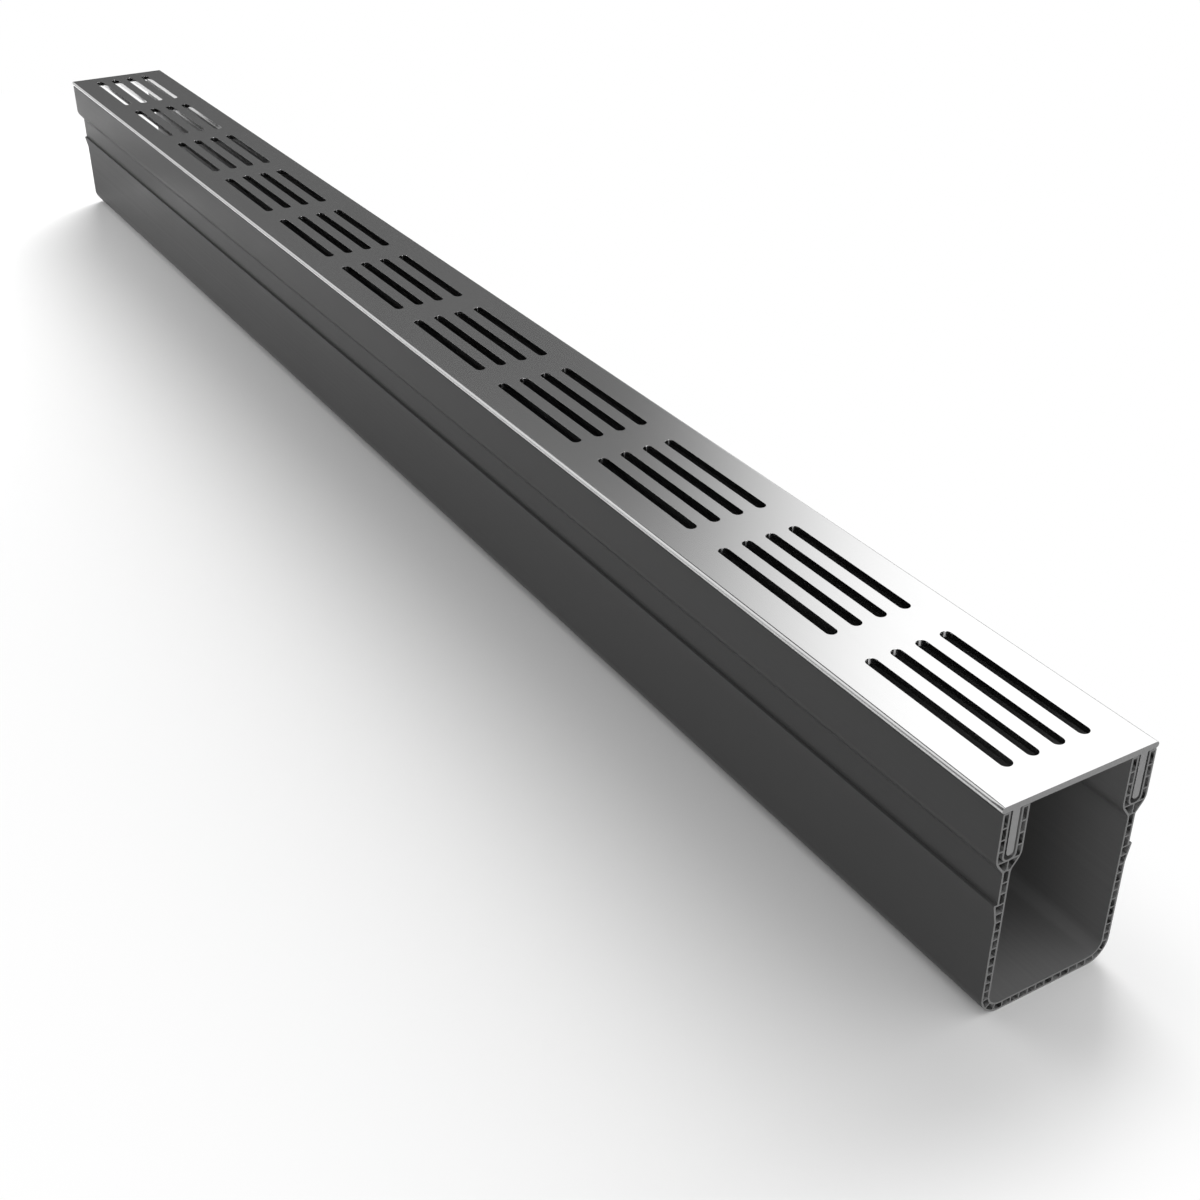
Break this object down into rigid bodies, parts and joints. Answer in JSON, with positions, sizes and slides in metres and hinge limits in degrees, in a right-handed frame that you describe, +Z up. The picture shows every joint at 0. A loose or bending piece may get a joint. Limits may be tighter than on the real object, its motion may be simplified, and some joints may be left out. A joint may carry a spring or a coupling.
{
  "type": "threshold channel drain",
  "caption": "Narrow threshold drain: a hollow-walled plastic channel with side ledges and forked tops that hold a lift-out slotted aluminium grate.",
  "frame": {"origin": "middle of the channel's underside", "axes": "+X along the run, +Y across it, +Z up through the grate"},
  "size_m": [1, 0.068, 0.092],
  "materials": {
    "channel_plastic": "extruded, fine matt, with paler sawn ends",
    "grate_aluminium": "satin, finely brushed along its length"
  },
  "bodies": {
    "root": {"channel_body": "channel_plastic", "grate": "grate_aluminium"}
  },
  "joints": []
}
